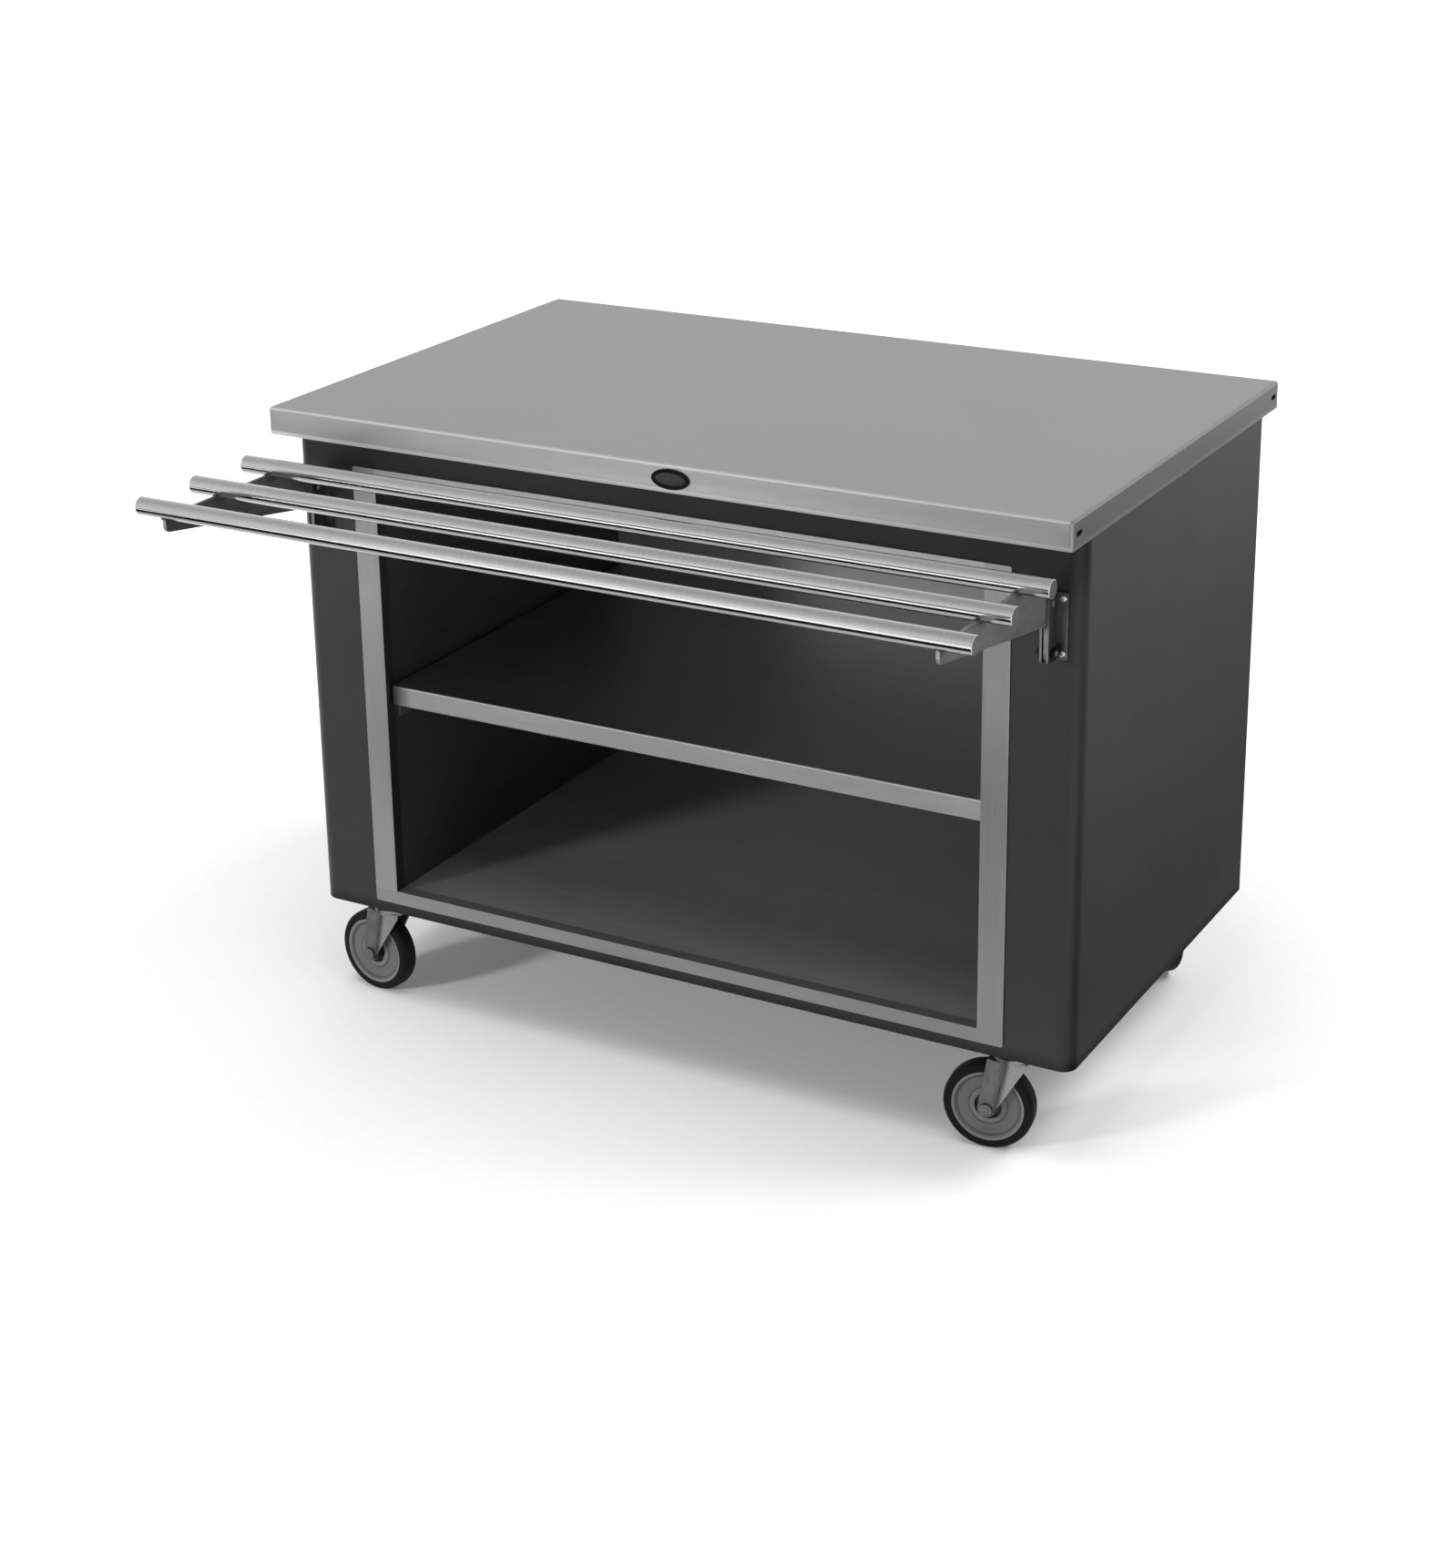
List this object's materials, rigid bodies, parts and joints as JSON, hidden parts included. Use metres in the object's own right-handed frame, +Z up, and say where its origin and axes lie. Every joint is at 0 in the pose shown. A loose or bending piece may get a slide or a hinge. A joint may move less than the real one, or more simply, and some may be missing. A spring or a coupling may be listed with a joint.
{
  "type": "serving line utility stand",
  "caption": "Mobile serving line utility stand: steel worktop on a moulded open-front body with a mid shelf, a fold-down tube tray slide and swivel casters.",
  "frame": {"origin": "on the floor under the middle of the overall box, tray slide up and casters as stored", "axes": "+X to the right seen from the front, the open front and tray slide face -Y, +Z up"},
  "size_m": [1.2192, 1.0556, 0.928],
  "materials": {
    "worktop_steel": "satin brushed",
    "badge_metal": "satin",
    "body_plastic": "fine textured matt",
    "trim_steel": "satin brushed",
    "liner_steel": "satin",
    "frame_steel": "galvanised",
    "slide_plate_steel": "satin",
    "tube_steel": "polished",
    "fastener_steel": "zinc plated",
    "caster_zinc": "bright zinc plated",
    "wheel_plastic": "moulded satin",
    "tyre_rubber": "matt"
  },
  "bodies": {
    "cabinet": {"worktop": "worktop_steel", "badge_plate": "badge_metal", "body_shell": "body_plastic", "trim_frame": "trim_steel", "side_panel_left": "liner_steel", "side_panel_right": "liner_steel", "back_panel": "liner_steel", "bottom_deck": "liner_steel", "mid_shelf": "liner_steel", "shelf_cleat_left": "liner_steel", "shelf_cleat_right": "liner_steel", "worktop_stiffener_left": "frame_steel", "worktop_stiffener_right": "frame_steel", "caster_channel_left": "frame_steel", "caster_channel_right": "frame_steel", "tray_bracket_left": "slide_plate_steel", "tray_bracket_right": "slide_plate_steel", "catch_pins": "fastener_steel", "bracket_screws": "fastener_steel", "pivot_bolts": "fastener_steel", "pivot_nuts": "fastener_steel", "caster_bolts": "fastener_steel", "caster_nuts": "fastener_steel", "caster_plate_front_left": "caster_zinc", "kingpin_front_left": "caster_zinc", "caster_plate_front_right": "caster_zinc", "kingpin_front_right": "caster_zinc", "caster_plate_rear_left": "caster_zinc", "kingpin_rear_left": "caster_zinc", "caster_plate_rear_right": "caster_zinc", "kingpin_rear_right": "caster_zinc"},
    "tray_slide": {"tray_arm_left": "slide_plate_steel", "tray_arm_right": "slide_plate_steel", "tray_tube_inner": "tube_steel", "tray_tube_middle": "tube_steel", "tray_tube_outer": "tube_steel", "tube_caps": "tube_steel"},
    "caster_front_left": {"caster_fork_front_left": "caster_zinc", "axle_front_left": "caster_zinc", "axle_bush_front_left": "caster_zinc"},
    "wheel_front_left": {"wheel_core_front_left": "wheel_plastic", "tyre_front_left": "tyre_rubber"},
    "caster_front_right": {"caster_fork_front_right": "caster_zinc", "axle_front_right": "caster_zinc", "axle_bush_front_right": "caster_zinc"},
    "wheel_front_right": {"wheel_core_front_right": "wheel_plastic", "tyre_front_right": "tyre_rubber"},
    "caster_rear_left": {"caster_fork_rear_left": "caster_zinc", "axle_rear_left": "caster_zinc", "axle_bush_rear_left": "caster_zinc"},
    "wheel_rear_left": {"wheel_core_rear_left": "wheel_plastic", "tyre_rear_left": "tyre_rubber"},
    "caster_rear_right": {"caster_fork_rear_right": "caster_zinc", "axle_rear_right": "caster_zinc", "axle_bush_rear_right": "caster_zinc"},
    "wheel_rear_right": {"wheel_core_rear_right": "wheel_plastic", "tyre_rear_right": "tyre_rubber"}
  },
  "joints": [
    {"name": "tray_fold", "type": "hinge", "parent": "cabinet", "child": "tray_slide", "pos_m": [0, -0.19615, 0.741], "axis": [1, 0, 0], "range_deg": [0, 90]},
    {"name": "swivel_front_left", "type": "hinge", "parent": "cabinet", "child": "caster_front_left", "pos_m": [-0.508, -0.14265, 0.155], "axis": [0, 0, 1], "continuous": true},
    {"name": "roll_front_left", "type": "hinge", "parent": "caster_front_left", "child": "wheel_front_left", "pos_m": [-0.53982, -0.13931, 0.0635], "axis": [-0.1045, -0.9945, 0], "continuous": true},
    {"name": "swivel_front_right", "type": "hinge", "parent": "cabinet", "child": "caster_front_right", "pos_m": [0.508, -0.14265, 0.155], "axis": [0, 0, 1], "continuous": true},
    {"name": "roll_front_right", "type": "hinge", "parent": "caster_front_right", "child": "wheel_front_right", "pos_m": [0.47635, -0.14738, 0.0635], "axis": [0.1478, -0.989, 0], "continuous": true},
    {"name": "swivel_rear_left", "type": "hinge", "parent": "cabinet", "child": "caster_rear_left", "pos_m": [-0.508, 0.44235, 0.155], "axis": [0, 0, 1], "continuous": true},
    {"name": "roll_rear_left", "type": "hinge", "parent": "caster_rear_left", "child": "wheel_rear_left", "pos_m": [-0.53982, 0.439, 0.0635], "axis": [0.1045, -0.9945, 0], "continuous": true},
    {"name": "swivel_rear_right", "type": "hinge", "parent": "cabinet", "child": "caster_rear_right", "pos_m": [0.508, 0.44235, 0.155], "axis": [0, 0, 1], "continuous": true},
    {"name": "roll_rear_right", "type": "hinge", "parent": "caster_rear_right", "child": "wheel_rear_right", "pos_m": [0.48537, 0.46498, 0.0635], "axis": [-0.7071, -0.7071, 0], "continuous": true}
  ]
}
